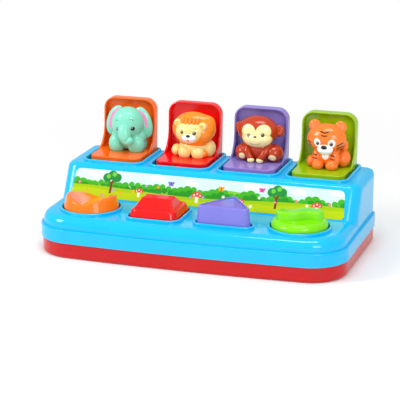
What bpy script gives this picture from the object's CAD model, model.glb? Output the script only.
# %% [markdown]
# # A pop up animal toy
# The toy is a low plastic case with four lids at the back and four controls in
# front of them. Its moving parts come from the CAD model, which this file loads
# first: the case, the lids and the buttons already have their true sizes there.
# Blender adds what a mould, a paint mask and a printer add to the real toy.

# %% Load the CAD model
import math

import bmesh
import bpy
import numpy as np
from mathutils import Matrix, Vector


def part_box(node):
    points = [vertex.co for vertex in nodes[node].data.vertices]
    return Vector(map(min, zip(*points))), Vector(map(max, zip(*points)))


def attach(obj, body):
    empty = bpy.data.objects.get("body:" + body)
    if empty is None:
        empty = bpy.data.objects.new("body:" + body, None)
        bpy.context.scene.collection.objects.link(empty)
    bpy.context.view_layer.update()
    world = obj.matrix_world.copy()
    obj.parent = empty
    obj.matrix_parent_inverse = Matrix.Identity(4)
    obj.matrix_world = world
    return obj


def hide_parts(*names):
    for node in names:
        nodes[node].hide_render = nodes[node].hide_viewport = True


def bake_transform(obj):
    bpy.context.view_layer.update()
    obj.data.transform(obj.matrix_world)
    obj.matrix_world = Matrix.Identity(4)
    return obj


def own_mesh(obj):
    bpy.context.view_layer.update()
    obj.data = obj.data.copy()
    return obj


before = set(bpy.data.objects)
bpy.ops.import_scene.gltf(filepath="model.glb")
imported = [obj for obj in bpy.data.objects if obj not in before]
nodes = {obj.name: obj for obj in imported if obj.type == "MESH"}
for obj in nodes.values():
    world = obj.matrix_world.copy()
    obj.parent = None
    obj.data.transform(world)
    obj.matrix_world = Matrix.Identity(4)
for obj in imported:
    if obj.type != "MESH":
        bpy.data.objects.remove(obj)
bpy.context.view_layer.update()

# %% [markdown]
# ## The camera
# The camera stands in front of the toy, a little to its right and above it. It
# could be aimed at a target with a constraint, but two angles are easier to check:
# it is turned about the upright axis by the azimuth and tilted down by the
# elevation. It has no roll, so the toy's upright edges lean only as much as
# perspective makes them. The lens is long, because the toy is seen from 1.5 m.

# %% Camera
camera = bpy.data.objects.new("camera", bpy.data.cameras.new("camera"))
bpy.context.scene.collection.objects.link(camera)
camera.location = (0.447, -1.402, 0.479)
azimuth, elevation = math.radians(17.9), math.radians(16.46)
camera.rotation_euler = (math.pi / 2 - elevation, 0.0, azimuth)
sensor_mm, focal_pixels, picture_pixels = 36.0, 1687.0, 400.0
camera.data.sensor_width = sensor_mm
camera.data.lens = sensor_mm * focal_pixels / picture_pixels
camera.data.clip_start, camera.data.clip_end = 0.05, 20.0
bpy.context.scene.camera = camera
print("lens, mm:", round(camera.data.lens, 1))

# %% [markdown]
# ## Colours and nodes
# A colour is written as the sRGB hex value that an eye would pick from the
# plastic, and one function turns it into the linear light that the shader needs.
# Another small function adds any shader node with its settings and links, so
# that each material below reads as a list of what it is made of.

# %% Helpers for colour and nodes
def linear(hex_colour):
    """Linear RGB from sRGB hex: below 0.04045 the value over 12.92, above it
    ((value + 0.055) / 1.055) to the power 2.4."""
    value = np.array([int(hex_colour[i:i + 2], 16) / 255.0 for i in (1, 3, 5)])
    return np.where(value <= 0.04045, value / 12.92, ((value + 0.055) / 1.055) ** 2.4)


def node(tree, kind, settings=None, links=None):
    """Adds one shader node, sets its sockets or its own properties by name, and
    links other nodes' outputs into it."""
    made = tree.nodes.new(kind)
    for name, value in (settings or {}).items():
        if name in made.inputs:
            made.inputs[name].default_value = value
        else:
            setattr(made, name, value)
    for name, output in (links or {}).items():
        tree.links.new(output, made.inputs[name])
    return made


def empty_material(name):
    """A material with an empty node tree, and that tree."""
    material = bpy.data.materials.new(name)
    material.use_nodes = True
    material.node_tree.nodes.clear()
    return material, material.node_tree


# %% [markdown]
# ## Moulded plastic
# Nearly every piece is ABS from a polished mould. The eye sees a clear gloss with
# slightly soft edges to its reflections, because the skin follows tiny sink marks
# and the polishing of the steel. So the shader is a dielectric with IOR 1.50, a
# roughness that drifts a little over some 20 mm, and a very shallow bump about
# 9 mm across. A real flat colour also looks deeper where light enters it, which a
# touch of subsurface colour gives.

# %% Moulded plastic
def moulded_plastic(name, colour, roughness=0.13, glow=0.03):
    """Glossy injection-moulded ABS: colour, a drifting roughness and sink marks."""
    sink_mm, spread = 9.0, 0.03
    material, tree = empty_material(name)
    place = node(tree, "ShaderNodeTexCoord")
    drift = node(tree, "ShaderNodeTexNoise", {"Scale": 1.0 / 0.020, "Detail": 2.0},
                 {"Vector": place.outputs["Object"]})
    rough = node(tree, "ShaderNodeMapRange",
                 {"To Min": roughness - spread, "To Max": roughness + spread},
                 {"Value": drift.outputs["Fac"]})
    sinks = node(tree, "ShaderNodeTexNoise", {"Scale": 1000.0 / sink_mm, "Detail": 1.0},
                 {"Vector": place.outputs["Object"]})
    bump = node(tree, "ShaderNodeBump", {"Strength": 0.08, "Distance": 0.0004},
                {"Height": sinks.outputs["Fac"]})
    # The Mix node's sockets share their names, so the share (0), the two colours
    # (6 and 7) and the mixed colour (output 2) go by their numbers.
    tint = node(tree, "ShaderNodeMix", {"data_type": "RGBA"})
    base = linear(colour)
    darker, lighter = base * 0.94, np.minimum(base * 1.04, 1.0)
    tint.inputs[6].default_value = (*darker, 1.0)
    tint.inputs[7].default_value = (*lighter, 1.0)
    tree.links.new(drift.outputs["Fac"], tint.inputs[0])
    shader = node(tree, "ShaderNodeBsdfPrincipled",
                  {"IOR": 1.50, "Specular IOR Level": 0.40, "Subsurface Weight": glow,
                   "Subsurface Scale": 0.002},
                  {"Base Color": tint.outputs[2], "Roughness": rough.outputs["Result"],
                   "Normal": bump.outputs["Normal"]})
    shader.inputs["Subsurface Radius"].default_value = (1.0, 0.6, 0.4)
    node(tree, "ShaderNodeOutputMaterial", None, {"Surface": shader.outputs["BSDF"]})
    return material


PLASTICS = {
    "upper_housing": moulded_plastic("abs_sky_blue", "#0AB8EE"),
    "base_tray": moulded_plastic("abs_base_red", "#C40002", 0.13, 0.01),
    "lid_orange": moulded_plastic("abs_lid_orange", "#FA6A16", 0.10),
    "lid_red": moulded_plastic("abs_lid_red", "#EE1016", 0.10),
    "lid_purple": moulded_plastic("abs_lid_lavender", "#8B7CCB", 0.10),
    "lid_green": moulded_plastic("abs_lid_leaf_green", "#93BE0A", 0.10),
    "rocker_orange": moulded_plastic("abs_rocker_orange", "#FF7A16"),
    "ramp_red": moulded_plastic("abs_ramp_red", "#F0100F"),
    "button_purple": moulded_plastic("abs_button_violet", "#7D79D2"),
    "knob_green": moulded_plastic("abs_knob_lime", "#7CDC00"),
}
print("moulded plastics:", len(PLASTICS))

# %% [markdown]
# ## Inner parts
# The levers and the crank are unpolished natural plastic, and the pins, springs
# and screws are bright steel wire and rod. They only show from below or through
# gaps, but they are real parts, so they get real finishes: the drawn wire has
# fine rings across it, about a tenth of a millimetre apart on the real one, and
# drawn here at 0.4 mm so that they show.

# %% Natural plastic and steel
def natural_plastic():
    """Unpolished acetal: milky white and nearly matte, with a fine grain."""
    material, tree = empty_material("acetal_natural")
    place = node(tree, "ShaderNodeTexCoord")
    grain = node(tree, "ShaderNodeTexNoise", {"Scale": 1.0 / 0.0012, "Detail": 3.0},
                 {"Vector": place.outputs["Object"]})
    bump = node(tree, "ShaderNodeBump", {"Strength": 0.15, "Distance": 0.0002},
                {"Height": grain.outputs["Fac"]})
    shader = node(tree, "ShaderNodeBsdfPrincipled",
                  {"Base Color": (*linear("#E9E7DC"), 1.0), "Roughness": 0.48, "IOR": 1.48},
                  {"Normal": bump.outputs["Normal"]})
    node(tree, "ShaderNodeOutputMaterial", None, {"Surface": shader.outputs["BSDF"]})
    return material


def bright_steel():
    """Zinc-plated drawn steel: grey metal with faint rings from the die."""
    material, tree = empty_material("steel_drawn_zinc")
    place = node(tree, "ShaderNodeTexCoord")
    rings = node(tree, "ShaderNodeTexNoise", {"Scale": 1.0 / 0.0004, "Detail": 1.0},
                 {"Vector": place.outputs["Object"]})
    rough = node(tree, "ShaderNodeMapRange", {"To Min": 0.22, "To Max": 0.36},
                 {"Value": rings.outputs["Fac"]})
    shader = node(tree, "ShaderNodeBsdfPrincipled",
                  {"Base Color": (*linear("#C9CCD0"), 1.0), "Metallic": 1.0},
                  {"Roughness": rough.outputs["Result"]})
    node(tree, "ShaderNodeOutputMaterial", None, {"Surface": shader.outputs["BSDF"]})
    return material


LID_COLOURS = ("orange", "red", "purple", "green")
LEVERS = ("knob_crank", *("latch_" + colour for colour in LID_COLOURS))
acetal = natural_plastic()
steel = bright_steel()
for name, piece in nodes.items():
    piece.data.materials.clear()
    piece.data.materials.append(PLASTICS.get(name, acetal if name in LEVERS else steel))
print("finished nodes:", len(nodes))

# %% [markdown]
# ## Springs that work
# A torsion spring twists when its lid shuts, and the coil under the push button
# gets shorter. A rigid spring would stick through its lid, so each of these five
# gets a merged copy of its wire. The lid springs turn little by little from the
# case's end to the lid's end, and 0.9 mm at either end moves with its own part.
# The button's coil is pressed down on its foot by all of the button's travel.

# %% Springs that bend
def wire_copy(name):
    """A copy of a node's wire whose loose triangles are joined at their corners,
    where two of them are less than a tenth of a micrometre apart."""
    wire = nodes[name].data.copy()
    joined = bmesh.new()
    joined.from_mesh(wire)
    bmesh.ops.remove_doubles(joined, verts=joined.verts, dist=1e-7)
    joined.to_mesh(wire)
    joined.free()
    made = bpy.data.objects.new(name + "_wire", wire)
    bpy.context.scene.collection.objects.link(made)
    return made


for number, colour in enumerate(LID_COLOURS, start=1):
    spring = wire_copy("lid_spring_%d" % number)
    foot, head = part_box("lid_spring_%d" % number)
    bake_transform(spring)
    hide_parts("lid_spring_%d" % number)
coil = wire_copy("button_spring")
low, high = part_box("button_spring")
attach(coil, "case")
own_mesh(coil)
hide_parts("button_spring")
print("springs that bend:", len(LID_COLOURS) + 1,
      "coil length, mm:", round(1000.0 * (high[2] - low[2]), 1))

# %% [markdown]
# ## Surfaces as grids
# Most new pieces are closed surfaces over a grid: one parameter turns round an
# axis, the other runs from one pole to the other. All vertices are worked out as
# one array, the faces follow from the grid's numbering, and both poles are closed
# with a fan of triangles.

# %% Grid faces and mesh building
def grid_faces(rows, columns):
    """Faces of a tube of points, rows from one pole to the other and columns
    round it: quads between rows, then a fan to the pole point at either end."""
    r, c = np.meshgrid(np.arange(rows - 1), np.arange(columns), indexing="ij")
    a = r * columns + c
    b = r * columns + (c + 1) % columns
    quads = np.stack([a, a + columns, b + columns, b], axis=-1).reshape(-1, 4)
    turn = np.arange(columns)
    after = (turn + 1) % columns
    start, end = rows * columns, rows * columns + 1
    last = (rows - 1) * columns
    fan_a = np.stack([np.full(columns, start), turn, after], axis=-1)
    fan_b = np.stack([np.full(columns, end), last + after, last + turn], axis=-1)
    return quads, np.concatenate([fan_a, fan_b])


def build_mesh(name, points, quads, triangles, colours=None, smooth=True):
    """One mesh from whole arrays of points, quads and triangles, with an optional
    paint colour for each point."""
    mesh = bpy.data.meshes.new(name)
    mesh.vertices.add(len(points))
    mesh.vertices.foreach_set("co", points.astype(np.float32).ravel())
    corners = np.concatenate([quads.ravel(), triangles.ravel()])
    mesh.loops.add(len(corners))
    mesh.loops.foreach_set("vertex_index", corners.astype(np.int32))
    starts = np.concatenate([np.arange(len(quads)) * 4, quads.size + np.arange(len(triangles)) * 3])
    mesh.polygons.add(len(quads) + len(triangles))
    mesh.polygons.foreach_set("loop_start", starts.astype(np.int32))
    mesh.polygons.foreach_set("use_smooth", np.full(len(starts), smooth))
    mesh.update(calc_edges=True)
    mesh.validate()
    if colours is not None:
        paint = mesh.color_attributes.new("paint", "FLOAT_COLOR", "POINT")
        rgba = np.concatenate([colours, np.ones((len(colours), 1))], axis=1)
        paint.data.foreach_set("color", rgba.astype(np.float32).ravel())
    made = bpy.data.objects.new(name, mesh)
    bpy.context.scene.collection.objects.link(made)
    return made


# %% [markdown]
# ## Spray masks
# The figures and the label get their colours the way a factory gives them: a mask
# says where each paint goes. A mask here is a distance in millimetres to the
# paint's edge, positive inside, measured on the front view of the figure. Paint
# is then laid over paint, with an edge as soft as the grid is fine.

# %% Masks and paint
OUTSIDE = -9.0


def oval(p, x, z, rx, rz, lean=0.0):
    """Distance inside an oval: one minus the scaled radius, times the half size."""
    a = math.radians(lean)
    dx, dz = p[:, 0] - x, p[:, 2] - z
    u, w = dx * math.cos(a) - dz * math.sin(a), dx * math.sin(a) + dz * math.cos(a)
    return (1.0 - np.hypot(u / rx, w / rz)) * min(rx, rz)


def stroke(p, line, width):
    """Distance inside a brush stroke: half the width minus the distance to the
    nearest of the line's straight runs."""
    best = np.full(len(p), np.inf)
    spot = p[:, (0, 2)]
    for start, end in zip(line[:-1], line[1:]):
        start, run = np.array(start, float), np.array(end, float) - np.array(start, float)
        along = np.clip(((spot - start) @ run) / (run @ run), 0.0, 1.0)
        best = np.minimum(best, np.linalg.norm(spot - start - along[:, None] * run, axis=1))
    return width / 2.0 - best


def painted(p, base, layers, edge=0.45):
    """Paint over the base colour: each layer is (mask distance, hex colour), mixed
    in by its distance over the edge's softness, held between nothing and all."""
    colour = np.tile(linear(base), (len(p), 1))
    for distance, paint in layers:
        cover = np.clip(0.5 + distance / edge, 0.0, 1.0)[:, None]
        colour = colour * (1.0 - cover) + linear(paint) * cover
    return colour


def only_front(p, distance, y):
    """The mask where the surface is in front of y, and nowhere behind it."""
    return np.where(p[:, 1] < y, distance, OUTSIDE)


# %% [markdown]
# ## Rounded lumps and limbs
# The figures are soft vinyl, cast in a mould that was sculpted from rounded
# lumps. An egg is a sphere's grid with a half size along each axis and a lean.
# Gentle swells and dimples are added along the surface's own direction, so that a
# cheek or an ear's hollow is part of the same skin. A limb or a trunk is a round
# profile carried along a curve, with a half ball at each end.

# %% Eggs and limbs
def egg(lump, rows=60, columns=96, swells=()):
    """Points of an egg: centre plus the half sizes times a unit direction, leaned
    about Y. Each swell (direction, reach in radians, height) adds its height times
    a bell curve of the angle between the surface's direction and its own."""
    x, y, z, rx, ry, rz = lump[:6]
    lean = math.radians(lump[6] if len(lump) > 6 else 0.0)
    down = (np.arange(rows) + 0.5) / rows * math.pi
    turn = np.arange(columns) / columns * 2.0 * math.pi
    v, u = np.meshgrid(down, turn, indexing="ij")
    way = np.stack([np.sin(v) * np.cos(u), np.sin(v) * np.sin(u), np.cos(v)], axis=-1).reshape(-1, 3)
    way = np.concatenate([way, [[0.0, 0.0, 1.0], [0.0, 0.0, -1.0]]])
    p = way * (rx, ry, rz)
    for toward, reach, height in swells:
        toward = np.array(toward, float) / np.linalg.norm(toward)
        angle = np.arccos(np.clip(way @ toward, -1.0, 1.0))
        p = p + way * (height * np.exp(-(angle / reach) ** 2))[:, None]
    turned = np.stack([p[:, 0] * math.cos(lean) + p[:, 2] * math.sin(lean), p[:, 1],
                       p[:, 2] * math.cos(lean) - p[:, 0] * math.sin(lean)], axis=1)
    return turned + (x, y, z), grid_faces(rows, columns)


def plain_egg(lump, tone, rows=60, columns=96, swells=()):
    """An egg in one colour, as a figure's skin: points, faces and paint."""
    points, faces = egg(lump, rows, columns, swells)
    return points, faces, painted(points, tone, [])


def limb(path, radii, columns=40):
    """Points of a limb: a circle carried along a smooth curve through the path,
    its radius following the given radii, and falling to nothing over half a ball
    at either end. The circle is laid out from a direction that no limb runs along."""
    aside = (0.31, 0.95, 0.05)
    path, radii = np.array(path, float), np.array(radii, float)
    knots = np.linspace(0.0, 1.0, len(path))
    fine = np.linspace(0.0, 1.0, 60)
    powers = np.polyfit(knots, path, len(path) - 1)
    line = sum(powers[k][None, :] * fine[:, None] ** (len(path) - 1 - k) for k in range(len(path)))
    swell = np.polyval(np.polyfit(knots, radii, len(radii) - 1), fine)
    step = np.gradient(line, axis=0)
    tangent = step / np.linalg.norm(step, axis=1)[:, None]
    cap = np.linspace(0.08, math.pi / 2.0, 12)
    front = line[0] - tangent[0] * (swell[0] * np.cos(cap))[:, None]
    back = line[-1] + tangent[-1] * (swell[-1] * np.cos(cap[::-1]))[:, None]
    centre = np.concatenate([front[:-1], line, back[1:]])
    radius = np.concatenate([(swell[0] * np.sin(cap))[:-1], swell,
                             (swell[-1] * np.sin(cap[::-1]))[1:]])
    ball = (len(cap) - 1, 1)
    along = np.concatenate([np.tile(tangent[0], ball), tangent, np.tile(tangent[-1], ball)])
    side = np.cross(along, aside)
    side /= np.linalg.norm(side, axis=1)[:, None]
    up = np.cross(side, along)
    turn = np.arange(columns) / columns * 2.0 * math.pi
    ring = (side[:, None, :] * np.cos(turn)[None, :, None]
            + up[:, None, :] * np.sin(turn)[None, :, None])
    p = (centre[:, None, :] + ring * radius[:, None, None]).reshape(-1, 3)
    ends = [line[0] - tangent[0] * swell[0], line[-1] + tangent[-1] * swell[-1]]
    quads, fans = grid_faces(len(centre), columns)
    return np.concatenate([p, ends]), (quads[:, ::-1], fans[:, ::-1])


LID_Y, LID_Z, SOLE_Z = 72.0, 71.0, 0.06


def moulded_figure(name, node_name, body, station_x, skins):
    """Joins painted skins into one mesh and moves it from its lid's own frame to
    its place in the toy: each skin is (points, (quads, triangles), colours).
    Points under the feet are pressed flat at the soles' height."""
    points, quads, fans, colours, first = [], [], [], [], 0
    for p, (quad, fan), colour in skins:
        points.append(np.maximum(p, (-np.inf, -np.inf, SOLE_Z)))
        quads.append(quad + first)
        fans.append(fan + first)
        colours.append(colour)
        first += len(p)
    place = (np.concatenate(points) + (station_x, LID_Y, LID_Z)) / 1000.0
    made = build_mesh(name, place, np.concatenate(quads), np.concatenate(fans),
                      np.concatenate(colours))
    made.data.materials.append(vinyl)
    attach(made, body)
    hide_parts(node_name)
    print(name, "points:", first, "faces:", len(made.data.polygons))


# %% [markdown]
# ## The push button's panel
# The three-sided button has a rim, a groove inside it and a flat panel in the
# middle, all in one moulding. The panel could be cut out of the cap with a
# boolean, but as a stack of rounded triangles it keeps an even soft edge.

# %% Panel of the push button
def rounded_triangle(inset, radius, height, turns=24):
    """One ring of a three-sided outline: the button's sharp triangle, from front
    edge to apex, is moved inward by inset plus radius, and a circle of that radius
    is rolled round its corners."""
    half_x, front, apex = 29.5, -20.5, 24.5
    half_angle = math.atan2(half_x, apex - front)
    inward = inset + radius
    tip, base = apex - inward / math.sin(half_angle), front + inward
    side = (tip - base) * math.tan(half_angle)
    centres = np.repeat([[side, base], [0.0, tip], [-side, base]], turns, axis=0)
    normals = np.array([-math.pi / 2.0, half_angle, math.pi - half_angle, 1.5 * math.pi])
    share = np.arange(turns) / (turns - 1)
    angle = (normals[:-1, None] + (normals[1:] - normals[:-1])[:, None] * share).ravel()
    ring = centres + radius * np.stack([np.cos(angle), np.sin(angle)], axis=1)
    return np.column_stack([ring, np.full(len(ring), height)])


BUTTON_X, BUTTON_Y, PANEL_MIDDLE_Y = 32.5, -36.5, -5.0
PANEL_TOP, PANEL_FOOT, PANEL_BEND = 55.75, 54.0, 0.6
flat_r, side_r = 0.9, 1.2
bend = np.linspace(0.0, math.pi / 2.0, 8)
outline = [(inset, flat_r, PANEL_TOP) for inset in (13.0, 10.0, 8.0, 7.4)]
outline += [(7.0 - PANEL_BEND * math.sin(a), side_r, PANEL_TOP - PANEL_BEND + PANEL_BEND * math.cos(a))
            for a in bend]
outline += [(6.3, side_r, height) for height in (54.4, PANEL_FOOT)]
rings = [rounded_triangle(*row) for row in outline]
poles = [[0.0, PANEL_MIDDLE_Y, PANEL_TOP], [0.0, PANEL_MIDDLE_Y, PANEL_FOOT]]
panel_points = np.concatenate(rings + [poles]) + (BUTTON_X, BUTTON_Y, 0.0)
panel = build_mesh("button_panel", panel_points / 1000.0, *grid_faces(len(rings), len(rings[0])))
panel.data.materials.append(PLASTICS["button_purple"])
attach(panel, "button_body")
print("button panel faces:", len(panel.data.polygons))

# %% [markdown]
# ## Painted vinyl
# The figures are softer than the case: PVC with a satin varnish over spray paint.
# Reflections are broad, light enters a little, and the paint shows a very fine
# orange-peel texture. The colour comes from each point's own paint attribute.

# %% Painted vinyl
def painted_vinyl():
    """Cast PVC with spray paint and varnish: paint attribute, satin gloss, orange peel."""
    material, tree = empty_material("pvc_painted_satin")
    place = node(tree, "ShaderNodeTexCoord")
    paint = node(tree, "ShaderNodeAttribute", {"attribute_name": "paint"})
    peel = node(tree, "ShaderNodeTexNoise", {"Scale": 1.0 / 0.0025, "Detail": 2.0},
                {"Vector": place.outputs["Object"]})
    bump = node(tree, "ShaderNodeBump", {"Strength": 0.07, "Distance": 0.0003},
                {"Height": peel.outputs["Fac"]})
    rough = node(tree, "ShaderNodeMapRange", {"To Min": 0.15, "To Max": 0.23},
                 {"Value": peel.outputs["Fac"]})
    shader = node(tree, "ShaderNodeBsdfPrincipled",
                  {"IOR": 1.52, "Subsurface Weight": 0.08, "Subsurface Scale": 0.0015},
                  {"Base Color": paint.outputs["Color"], "Roughness": rough.outputs["Result"],
                   "Normal": bump.outputs["Normal"]})
    node(tree, "ShaderNodeOutputMaterial", None, {"Surface": shader.outputs["BSDF"]})
    return material


vinyl = painted_vinyl()
BLACK, WHITE = "#15110F", "#FFFFFF"


def eye(p, x, z, size, front):
    """An eye's two paints: a black oval and a small white highlight in it, up and
    to one side."""
    spot = 0.26 * size
    shine = oval(p, x - 0.28 * size, z + 0.42 * size, spot, spot)
    return [(only_front(p, oval(p, x, z, size, size * 1.15), front), BLACK),
            (only_front(p, shine, front), WHITE)]


def screw_bosses(tone):
    """Two short posts under a figure, which its screws bite into: small eggs whose
    lower ends are pressed flat with the feet."""
    return [plain_egg((x, -19.0, 2.8, 3.0, 3.0, 4.0), tone, 30, 40) for x in (-3.0, 9.0)]


# %% [markdown]
# ## The elephant
# A big round head with a domed brow, a trunk that curls forward, and two wide
# ears with a pink hollow. It could be sculpted as one skin, but separate rounded
# masses keep the creases that the mould has where ear, trunk and leg meet.

# %% Elephant
MINT, PINK = "#7FDCBE", "#F58FC6"
skins = []
head, faces = egg((3.5, -20.0, 26.0, 15.5, 14.0, 15.8), 130, 220,
                  swells=(((-0.35, -0.8, 0.75), 0.38, 0.7), ((0.45, -0.8, 0.75), 0.38, 0.7)))
head_paint = painted(head, MINT, [
    *eye(head, -2.4, 22.4, 1.6, -24.0), *eye(head, 12.2, 23.8, 1.75, -22.0),
    (only_front(head, stroke(head, [(-4.6, 30.4), (-3.4, 31.3), (-2.2, 31.0)], 0.55), -20.0), "#2E6E60"),
    (only_front(head, stroke(head, [(9.8, 32.4), (11.2, 32.6), (12.3, 31.4)], 0.75), -20.0), "#1E3A36")])
skins.append((head, faces, head_paint))
for lump in ((3.2, -17.0, 12.5, 17.0, 12.5, 12.5), (-6.6, -24.2, 6.6, 7.6, 7.0, 10.0),
             (12.6, -23.8, 6.6, 8.2, 7.0, 10.0), (-7.0, -11.5, 5.0, 6.2, 6.2, 8.0),
             (13.0, -11.5, 5.0, 6.2, 6.2, 8.0)):
    skins.append(plain_egg(lump, MINT))
trunk, faces = limb([(4.0, -27.5, 25.0), (4.4, -32.0, 18.6), (6.6, -33.6, 13.2), (9.8, -34.4, 12.4)],
                    [6.4, 6.4, 5.2, 4.0])
skins.append((trunk, faces, painted(trunk, MINT, [])))
for lump, hollow in (((17.0, -15.0, 26.5, 8.4, 3.8, 15.2, -18.0),
                      [(12.6, 38.2), (17.6, 34.8), (20.6, 29.6), (21.4, 23.8)]),
                     ((-11.0, -15.0, 26.5, 8.4, 3.8, 15.2, 18.0),
                      [(-7.6, 38.0), (-12.6, 33.6), (-15.2, 27.6), (-15.4, 21.0)])):
    ear, faces = egg(lump, 110, 130)
    pink = only_front(ear, stroke(ear, hollow, 2.7), -15.0)
    skins.append((ear, faces, painted(ear, MINT, [(pink, PINK)])))
moulded_figure("elephant_figure", "figure_elephant", "lid_orange_body", -97.5,
               skins + screw_bosses(MINT))

# %% [markdown]
# ## The lion
# A broad orange mane with one tuft flicked up to the side, a cream face and body,
# and a white muzzle. The fringe over the brow is modelled as separate tufts, as
# they stand proud of the face on the moulding.

# %% Lion
CREAM, MANE, BROW = "#F8DC8C", "#FF8A12", "#C98E35"
skins = [plain_egg((3.5, -19.0, 25.2, 20.6, 12.0, 16.2), MANE, 96, 144,
                   swells=(((0.80, 0.0, 0.60), 0.30, 2.6), ((0.95, 0.0, 0.2), 0.5, 0.8))),
         plain_egg((4.6, -22.4, 21.6, 18.2, 10.4, 13.0), MANE)]
head, faces = egg((2.2, -25.6, 23.6, 14.2, 10.5, 11.4), 96, 170)
skins.append((head, faces, painted(head, CREAM, [
    *eye(head, -3.0, 25.2, 1.5, -26.0), *eye(head, 9.0, 24.8, 1.6, -26.0),
    (only_front(head, stroke(head, [(-4.4, 28.6), (-3.2, 29.2), (-2.0, 28.9)], 0.5), -26.0), BROW),
    (only_front(head, stroke(head, [(8.0, 28.6), (9.4, 28.9), (10.6, 28.1)], 0.5), -26.0), BROW)])))
muzzle, faces = egg((3.5, -34.3, 19.8, 6.8, 3.8, 4.4), 70, 110,
                    swells=(((-0.5, -0.9, -0.1), 0.45, 0.5), ((0.5, -0.9, -0.1), 0.45, 0.5)))
skins.append((muzzle, faces, painted(muzzle, "#FBFAF4", [
    (only_front(muzzle, oval(muzzle, 3.9, 18.2, 1.5, 0.9), -35.0), "#F07A28"),
    (only_front(muzzle, stroke(muzzle, [(3.7, 21.2), (3.7, 19.4)], 0.4), -35.0), "#C98E55")])))
skins.append(plain_egg((3.7, -37.3, 22.3, 2.1, 1.3, 1.3), BLACK, 24, 36))
for x, y, z, r in ((-9.4, -27.0, 32.0, 3.7), (14.6, -27.6, 29.8, 4.1)):
    ear, faces = egg((x, y, z, r, 3.4, r * 1.04), 50, 70, swells=(((0.0, -1.0, 0.0), 0.55, -1.3),))
    shade = only_front(ear, oval(ear, x, z, r * 0.55, r * 0.6), y)
    skins.append((ear, faces, painted(ear, CREAM, [(shade, "#EDBE62")])))
for x, z, size, lean in ((-3.6, 33.8, 4.2, -14.0), (-0.2, 32.6, 5.2, -6.0), (3.4, 31.4, 6.0, 2.0),
                         (6.8, 32.4, 5.0, 10.0), (9.8, 34.0, 4.0, 20.0)):
    tuft = (x, -30.2 + 0.05 * (x - 2.4) ** 2, z, 2.1, 2.6, size, lean)
    skins.append(plain_egg(tuft, MANE, 36, 40))
for lump in ((3.5, -18.5, 8.0, 14.5, 11.0, 8.6), (-2.7, -28.2, 4.2, 6.0, 5.5, 6.2),
             (10.2, -28.0, 4.2, 6.2, 5.5, 6.2), (-12.4, -21.5, 4.6, 4.8, 6.0, 5.6),
             (17.6, -17.0, 7.0, 6.6, 8.0, 8.2)):
    skins.append(plain_egg(lump, CREAM))
skins.append(plain_egg((15.2, -24.5, 3.4, 3.6, 3.2, 3.6), MANE))
moulded_figure("lion_figure", "figure_lion", "lid_red_body", -32.5, skins + screw_bosses(CREAM))

# %% [markdown]
# ## The monkey
# A wide head with ears at the sides, and a cream face shaped like a heart. Both
# the head and the fuller lower face carry the same heart-shaped mask, so that the
# paint runs over the crease between them, as a real spray mask makes it.

# %% Monkey
FUR, SKIN = "#B8360C", "#FAE6A4"


def heart(p):
    """Mask of the face: a wide oval below and two round ones above it, joined by
    taking the largest of their distances."""
    lower = oval(p, 1.7, 22.3, 14.2, 8.6)
    return np.maximum(lower, np.maximum(oval(p, -5.2, 29.4, 6.7, 6.6), oval(p, 8.6, 29.6, 6.7, 6.6)))


def monkey_face(p):
    """The face's paints, the same for every skin that they run across."""
    mouth = stroke(p, [(-3.4, 19.4), (-1.0, 18.0), (3.6, 17.8), (6.4, 19.2)], 0.6)
    return [(only_front(p, heart(p), -18.0), SKIN),
            *eye(p, -4.9, 26.0, 1.5, -24.0), *eye(p, 8.4, 27.0, 1.6, -24.0),
            (only_front(p, oval(p, 1.7, 25.2, 1.5, 0.9), -24.0), "#5A2414"),
            (only_front(p, mouth, -24.0), "#C98A4A")]


skins = []
head, faces = egg((0.5, -17.5, 28.0, 19.2, 13.5, 14.0), 136, 230)
skins.append((head, faces, painted(head, FUR, monkey_face(head))))
jaw, faces = egg((1.7, -22.5, 22.0, 14.4, 10.2, 8.8), 110, 190)
skins.append((jaw, faces, painted(jaw, FUR, monkey_face(jaw))))
for x, y, lean in ((20.4, -16.5, 6.0), (-18.0, -13.0, -6.0)):
    ear, faces = egg((x, y, 28.8, 5.0, 3.0, 5.6, lean), 50, 70,
                     swells=(((0.0, -1.0, 0.0), 0.6, -1.5),))
    shade = only_front(ear, oval(ear, x, 28.8, 2.6, 3.1), y)
    skins.append((ear, faces, painted(ear, FUR, [(shade, "#D0501E")])))
for lump, patches in (((2.0, -17.0, 11.0, 12.5, 10.5, 12.0), ()),
                     ((-12.0, -20.5, 7.6, 7.8, 8.5, 7.8), ((-11.9, 5.6, 2.9, 2.9),)),
                     ((16.6, -18.8, 8.0, 8.4, 9.0, 8.2), ((16.6, 5.2, 3.7, 2.9),))):
    part, faces = egg(lump)
    masks = [(only_front(part, oval(part, *patch), -22.0), SKIN) for patch in patches]
    skins.append((part, faces, painted(part, FUR, masks)))
for side, shoulder, hand in ((-1, (-9.0, -21.5, 14.5), (-3.2, -28.0, 3.4)),
                             (1, (12.2, -21.0, 14.5), (5.4, -28.0, 3.4))):
    elbow = ((shoulder[0] + hand[0]) / 2.0 + side * 0.8, -26.8, 9.5)
    arm, faces = limb([shoulder, elbow, hand], [3.6, 3.3, 2.9], columns=36)
    skins.append((arm, faces, painted(arm, FUR, [])))
    skins.append(plain_egg((hand[0], -28.6, 2.4, 3.3, 3.5, 2.7), SKIN, 40, 56))
moulded_figure("monkey_figure", "figure_monkey", "lid_purple_body", 32.5, skins + screw_bosses(FUR))

# %% [markdown]
# ## The tiger
# An orange head with round ears, white patches round the eyes, a white muzzle and
# bib, and short dark stripes. Each stripe is a brush stroke on the front mask.

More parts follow.
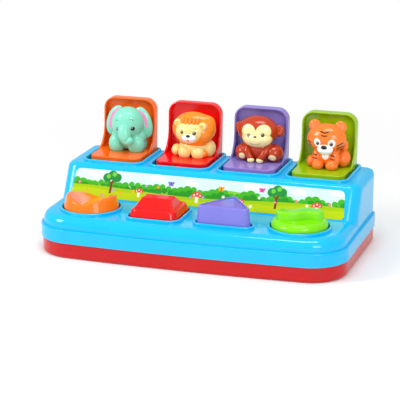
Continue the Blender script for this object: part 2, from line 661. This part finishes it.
# %% Tiger
AMBER, STRIPE, PATCH, BIB = "#FB7A26", "#2A1A16", "#FFF6EC", "#FBF8F4"
skins = []
head, faces = egg((1.5, -19.5, 26.5, 18.0, 13.0, 13.5), 110, 200,
                  swells=(((-0.85, -0.6, -0.35), 0.40, 0.8), ((0.85, -0.6, -0.35), 0.40, 0.8)))
head_stripes = ([(-2.0, 34.6), (1.6, 33.6), (5.0, 34.4)], [(-0.8, 31.6), (1.6, 30.9), (4.0, 31.5)],
                [(-15.8, 24.6), (-11.6, 23.6)], [(-15.6, 21.4), (-11.2, 20.8)],
                [(-14.6, 18.4), (-10.8, 18.2)], [(13.2, 22.0), (17.6, 24.4)],
                [(12.8, 19.2), (17.4, 21.2)], [(11.8, 16.6), (16.0, 17.8)])
skins.append((head, faces, painted(head, AMBER, [
    (only_front(head, oval(head, -4.8, 24.6, 3.1, 4.0, -12.0), -20.0), PATCH),
    (only_front(head, oval(head, 8.6, 24.2, 3.2, 4.0, 12.0), -20.0), PATCH),
    *[(only_front(head, stroke(head, line, 1.15), -15.0), STRIPE) for line in head_stripes],
    *eye(head, -4.4, 24.0, 1.55, -24.0), *eye(head, 8.2, 23.8, 1.65, -24.0)])))
skins.append(plain_egg((2.6, -31.6, 18.6, 7.4, 5.0, 4.6), BIB, 70, 110,
                       swells=(((-0.5, -0.9, -0.1), 0.45, 0.5), ((0.5, -0.9, -0.1), 0.45, 0.5))))
skins.append(plain_egg((2.6, -36.0, 21.6, 2.9, 1.6, 1.9), BLACK, 30, 44))
for x in (-10.5, 13.5):
    ear, faces = egg((x, -17.5, 36.8, 5.8, 3.8, 5.8), 60, 80, swells=(((0.0, -1.0, 0.1), 0.55, -1.7),))
    shade = only_front(ear, oval(ear, x, 36.9, 3.0, 3.1), -17.5)
    skins.append((ear, faces, painted(ear, AMBER, [(shade, "#F2905A")])))
skins.append(plain_egg((2.0, -18.5, 11.0, 12.5, 11.5, 12.0), AMBER))
skins.append(plain_egg((2.4, -26.4, 11.8, 4.8, 4.2, 5.2), BIB, 50, 70))
for x, marks in ((-6.2, (12.6, 9.4)), (10.2, (12.4, 9.2))):
    arm, faces = egg((x, -25.5, 8.5, 4.8, 5.2, 9.0))
    masks = [(only_front(arm, stroke(arm, [(x - 2.6, z + 0.5), (x + 1.0, z)], 1.1), -25.0), STRIPE)
             for z in marks]
    skins.append((arm, faces, painted(arm, AMBER, masks)))
for lump in ((-4.2, -30.2, 3.8, 5.6, 5.8, 5.2), (8.8, -30.6, 3.8, 5.8, 5.8, 5.2),
             (-12.0, -21.5, 4.6, 4.6, 6.5, 5.6), (16.4, -15.5, 7.5, 6.4, 9.0, 8.2),
             (15.5, -10.5, 14.0, 3.4, 3.4, 9.0, 15.0)):
    skins.append(plain_egg(lump, AMBER))
moulded_figure("tiger_figure", "figure_tiger", "lid_green_body", 97.5, skins + screw_bosses(AMBER))

# %% [markdown]
# ## The printed label
# The sloping face carries a label of printed film. It is a thin sheet over the
# same grid that the print is worked out on. The sheet gets a little narrower
# towards its upper edge, and its corners are quarter circles: near a corner the
# half width falls by r - sqrt(r^2 - d^2), where d is how far the point lies past
# the corner's centre.

# %% Label grid
low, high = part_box("scene_label")
slope = math.atan2(high[1] - low[1], high[2] - low[2])
along = math.hypot(high[1] - low[1], high[2] - low[2]) * 1000.0
rows, columns = 90, 860
bottom_half, narrowing, corner = 130.0, 2.3, 4.5
v = np.linspace(0.0, 1.0, rows)[:, None] * along
u = np.linspace(-1.0, 1.0, columns)[None, :]
half = bottom_half - narrowing * v / along
near = np.minimum(np.minimum(v, along - v) - corner, 0.0)
half = half - (corner - np.sqrt(np.maximum(corner ** 2 - near ** 2, 0.0)))
sheet = np.stack([u * half, v + 0.0 * u], axis=-1).reshape(-1, 2)
flat = np.stack([sheet[:, 0], np.zeros(len(sheet)), sheet[:, 1]], axis=1)
print("label, mm:", round(2 * float(half.max()), 1), "x", round(along, 1))

# %% [markdown]
# ## The label's inks
# Each point of the sheet gets its colour from simple shapes laid over each other,
# as a screen printer would lay one ink after another. The scene is a plain garden
# with hills, hedges, clouds, trees, toadstools, flowers and butterflies.

# %% Label inks
def blob_row(p, spots):
    """Distance inside a hedge, a cloud or a tree's crown: the largest of the
    distances inside its round parts."""
    return np.max([oval(p, x, z, r, r) for x, z, r in spots], axis=0)


def petals(p, x, z, r):
    """Distance inside a five-petalled flower of outer radius r."""
    angle = np.arctan2(p[:, 2] - z, p[:, 0] - x)
    return r * (0.75 + 0.25 * np.cos(5.0 * angle)) - np.hypot(p[:, 0] - x, p[:, 2] - z)


BARK, YELLOW = "#7A3B1E", "#F8C61C"
rng = np.random.default_rng(7)
x_along = flat[:, 0]
height = flat[:, 2]
far_hill = 14.5 + 2.2 * np.sin(x_along / 26.0 + 0.6) + 1.0 * np.sin(x_along / 11.0) - height
near_hill = 10.0 + 1.8 * np.sin(x_along / 34.0 - 1.2) - height
layers = [(far_hill, "#7CC83C")]
for x, z, size in ((-112, 22.4, 1.0), (-52, 23.0, 1.1), (-18, 20.8, 0.8), (38, 22.6, 1.2),
                   (83, 21.4, 0.9), (118, 23.2, 0.8)):
    cloud = [(x, z, 2.6 * size), (x + 4.2 * size, z + 0.9 * size, 3.2 * size),
             (x + 8.4 * size, z, 2.5 * size)]
    layers.append((blob_row(flat, cloud), WHITE))
hedges = [(x, 12.0 + 3.4 * math.sin(x / 9.0) ** 2, 3.6 + 0.9 * math.sin(x / 5.0))
          for x in range(-132, 134, 6)]
layers.append((blob_row(flat, hedges), "#3FAE22"))
layers.append((blob_row(flat, [(x + 2.4, z - 3.4, r * 0.92) for x, z, r in hedges]), "#24921F"))
layers.append((near_hill, "#9FC400"))
layers.append((near_hill - 3.2 - 0.6 * np.sin(x_along / 8.0), "#B6CC04"))
for x, z in ((-92, 15.0), (66, 14.6)):
    layers.append((stroke(flat, [(x, z - 9.0), (x + 0.4, z), (x + 2.6, z + 4.0)], 2.2), BARK))
    layers.append((stroke(flat, [(x + 0.2, z - 1.5), (x - 3.0, z + 3.0)], 1.4), BARK))
    crown = [(x - 4.6, z + 5.0, 4.2), (x + 0.4, z + 7.4, 4.6), (x + 5.2, z + 5.4, 4.2)]
    layers.append((blob_row(flat, crown), "#1F8A3C"))
    layers.append((blob_row(flat, [(x - 3.4, z + 6.2, 2.0), (x + 2.0, z + 8.4, 2.1)]), "#6CC63E"))
for x, z, size in ((-64, 8.6, 1.0), (-8, 9.4, 1.25), (33, 7.8, 0.9), (104, 9.6, 1.2)):
    layers.append((stroke(flat, [(x, z - 3.4 * size), (x, z)], 2.2 * size), "#FFF3DC"))
    cap = np.minimum(oval(flat, x, z, 4.3 * size, 3.6 * size), height - z + 0.2)
    layers.append((cap, "#E93A2C"))
    for dx, dz in ((-2.2, 1.0), (0.1, 2.1), (2.3, 0.9)):
        layers.append((oval(flat, x + dx * size, z + dz * size, 0.6 * size, 0.6 * size), WHITE))
for x in np.arange(-124.0, 126.0, 11.0):
    x, z = x + rng.uniform(-3.5, 3.5), rng.uniform(3.0, 15.0)
    tone = (WHITE, YELLOW, "#F0489E", "#FF7A3A", "#8F7BE0")[int(rng.integers(0, 5))]
    layers.append((petals(flat, x, z, 1.6), tone))
    layers.append((oval(flat, x, z, 0.5, 0.5), "#D9822B" if tone == YELLOW else "#F6D23C"))
for x, z, tone in ((-34, 19.0, "#7C6BD0"), (14, 18.6, "#F2A21C"), (52, 20.6, "#F0489E")):
    for side in (-1, 1):
        layers.append((oval(flat, x + side * 1.5, z + 0.9, 1.7, 1.2, side * -30.0), tone))
        layers.append((oval(flat, x + side * 1.2, z - 0.9, 1.2, 0.9, side * 30.0), tone))
    layers.append((stroke(flat, [(x, z - 1.7), (x, z + 1.9)], 0.6), "#3A2A2A"))
ink = painted(flat, "#CDEBE6", layers, edge=0.35)
print("label inks laid:", len(layers))

# %% [markdown]
# ## The label's sheet
# The printed grid is laid on the slope, a little above the plastic. A Solidify
# modifier could give it its thickness, but would double all of its faces. So the
# sheet is closed by hand: a wall goes round its edge, and a fan of triangles from
# the middle closes its back, which is flat.

# %% Label sheet
up_slope = np.array([0.0, math.sin(slope), math.cos(slope)])
face_out = np.array([0.0, -math.cos(slope), math.sin(slope)])
foot = np.array([0.0, low[1], low[2]]) * 1000.0
lift, film = 0.14, 0.1
sheet_points = foot + sheet[:, :1] * (1.0, 0.0, 0.0) + sheet[:, 1:] * up_slope + face_out * lift
r, c = np.meshgrid(np.arange(rows - 1), np.arange(columns - 1), indexing="ij")
a = r * columns + c
sheet_quads = np.stack([a, a + 1, a + columns + 1, a + columns], axis=-1).reshape(-1, 4)
edge = np.concatenate([np.arange(columns), np.arange(2, rows) * columns - 1,
                       rows * columns - 1 - np.arange(columns), np.arange(rows - 2, 0, -1) * columns])
back = sheet_points[edge] - film * face_out
middle = back.mean(axis=0, keepdims=True)
count = len(edge)
after = np.roll(np.arange(count), -1)
behind = len(sheet) + np.arange(count)
walls = np.stack([edge[after], edge, behind, behind[after]], axis=-1)
fan = np.stack([behind[after], behind, np.full(count, len(sheet) + count)], axis=-1)
paper = np.ones((count + 1, 3))
label = build_mesh("printed_label", np.concatenate([sheet_points, back, middle]) / 1000.0,
                   np.concatenate([sheet_quads, walls]), fan, np.concatenate([ink, paper]))


def printed_film():
    """Screen-printed polypropylene film: ink attribute under a smooth gloss varnish."""
    material, tree = empty_material("film_printed_varnished")
    inks = node(tree, "ShaderNodeAttribute", {"attribute_name": "paint"})
    place = node(tree, "ShaderNodeTexCoord")
    waves = node(tree, "ShaderNodeTexNoise", {"Scale": 1.0 / 0.008, "Detail": 1.0},
                 {"Vector": place.outputs["Object"]})
    bump = node(tree, "ShaderNodeBump", {"Strength": 0.06, "Distance": 0.0003},
                {"Height": waves.outputs["Fac"]})
    shader = node(tree, "ShaderNodeBsdfPrincipled",
                  {"Roughness": 0.16, "IOR": 1.45, "Specular IOR Level": 0.35},
                  {"Base Color": inks.outputs["Color"], "Normal": bump.outputs["Normal"]})
    node(tree, "ShaderNodeOutputMaterial", None, {"Surface": shader.outputs["BSDF"]})
    return material


label.data.materials.append(printed_film())
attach(label, "case")
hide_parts("scene_label")
print("label faces:", len(label.data.polygons))

# %% [markdown]
# ## Floor, backdrop and light
# A pale floor holds the toy's shadow, and further off it turns white to the
# camera only, so that it never adds light of its own to the plastic. Two
# rectangular lamps, the brighter one on the left, give the window-like
# highlights that polished plastic shows. A long, narrow one above gives the
# figures' heads and the lids' upper edges theirs, and the sky fills the shade.

# %% Stage
def pale_floor():
    """Painted board round the toy that turns, for the camera, into an evenly lit
    white sweep: the mix follows the distance from the toy's middle."""
    material, tree = empty_material("board_painted_white")
    place = node(tree, "ShaderNodeTexCoord")
    away = node(tree, "ShaderNodeVectorMath", {"operation": "LENGTH"})
    tree.links.new(place.outputs["Object"], away.inputs[0])
    fade = node(tree, "ShaderNodeMapRange",
                {"interpolation_type": "SMOOTHSTEP", "From Min": 0.20, "From Max": 0.62},
                {"Value": away.outputs["Value"]})
    rays = node(tree, "ShaderNodeLightPath")
    share = node(tree, "ShaderNodeMath", {"operation": "MULTIPLY"})
    tree.links.new(fade.outputs["Result"], share.inputs[0])
    tree.links.new(rays.outputs["Is Camera Ray"], share.inputs[1])
    board = node(tree, "ShaderNodeBsdfPrincipled",
                 {"Base Color": (0.90, 0.90, 0.90, 1.0), "Roughness": 0.6})
    sweep = node(tree, "ShaderNodeEmission", {"Color": (1.0, 1.0, 1.0, 1.0), "Strength": 1.0})
    mixed = node(tree, "ShaderNodeMixShader", None, {"Fac": share.outputs["Value"]})
    tree.links.new(board.outputs["BSDF"], mixed.inputs[1])
    tree.links.new(sweep.outputs["Emission"], mixed.inputs[2])
    node(tree, "ShaderNodeOutputMaterial", None, {"Surface": mixed.outputs["Shader"]})
    return material


reach = 6.0
floor_corners = np.array([[-reach, -reach, 0.0], [reach, -reach, 0.0],
                          [reach, reach, 0.0], [-reach, reach, 0.0]])
floor = build_mesh("floor", floor_corners, np.array([[0, 1, 2, 3]]), np.zeros((0, 3), int),
                   smooth=False)
floor.data.materials.append(pale_floor())

world = bpy.data.worlds.new("studio")
bpy.context.scene.world = world
world.use_nodes = True
sky = world.node_tree
sky.nodes.clear()
rays = node(sky, "ShaderNodeLightPath")
seen = node(sky, "ShaderNodeMath", {"operation": "MAXIMUM"})
sky.links.new(rays.outputs["Is Camera Ray"], seen.inputs[0])
sky.links.new(rays.outputs["Is Transmission Ray"], seen.inputs[1])
level = node(sky, "ShaderNodeMapRange", {"To Min": 0.62, "To Max": 1.0},
             {"Value": seen.outputs["Value"]})
air = node(sky, "ShaderNodeBackground", {"Color": (1.0, 1.0, 1.0, 1.0)},
           {"Strength": level.outputs["Result"]})
node(sky, "ShaderNodeOutputWorld", None, {"Surface": air.outputs["Background"]})


def soft_lamp(name, place, target, width, height, power):
    """A rectangular area lamp that faces its target, sizes in metres, power in
    watts."""
    lamp = bpy.data.lights.new(name, "AREA")
    lamp.shape = "RECTANGLE"
    lamp.size, lamp.size_y, lamp.energy = width, height, power
    made = bpy.data.objects.new(name, lamp)
    made.location = place
    way = np.array(target, float) - np.array(place, float)
    tilt = math.atan2(math.hypot(way[0], way[1]), -way[2])
    made.rotation_euler = (tilt, 0.0, math.atan2(-way[0], way[1]))
    bpy.context.scene.collection.objects.link(made)


toy_middle = (0.0, 0.0, 0.05)
soft_lamp("window_left", (-1.20, -0.75, 0.95), toy_middle, 0.50, 0.60, 12.0)
soft_lamp("ceiling", (0.1, -0.25, 1.5), toy_middle, 0.80, 0.36, 8.0)
soft_lamp("front_right", (0.95, -1.25, 0.75), toy_middle, 0.62, 0.72, 9.0)
bpy.context.scene.view_settings.view_transform = "Standard"
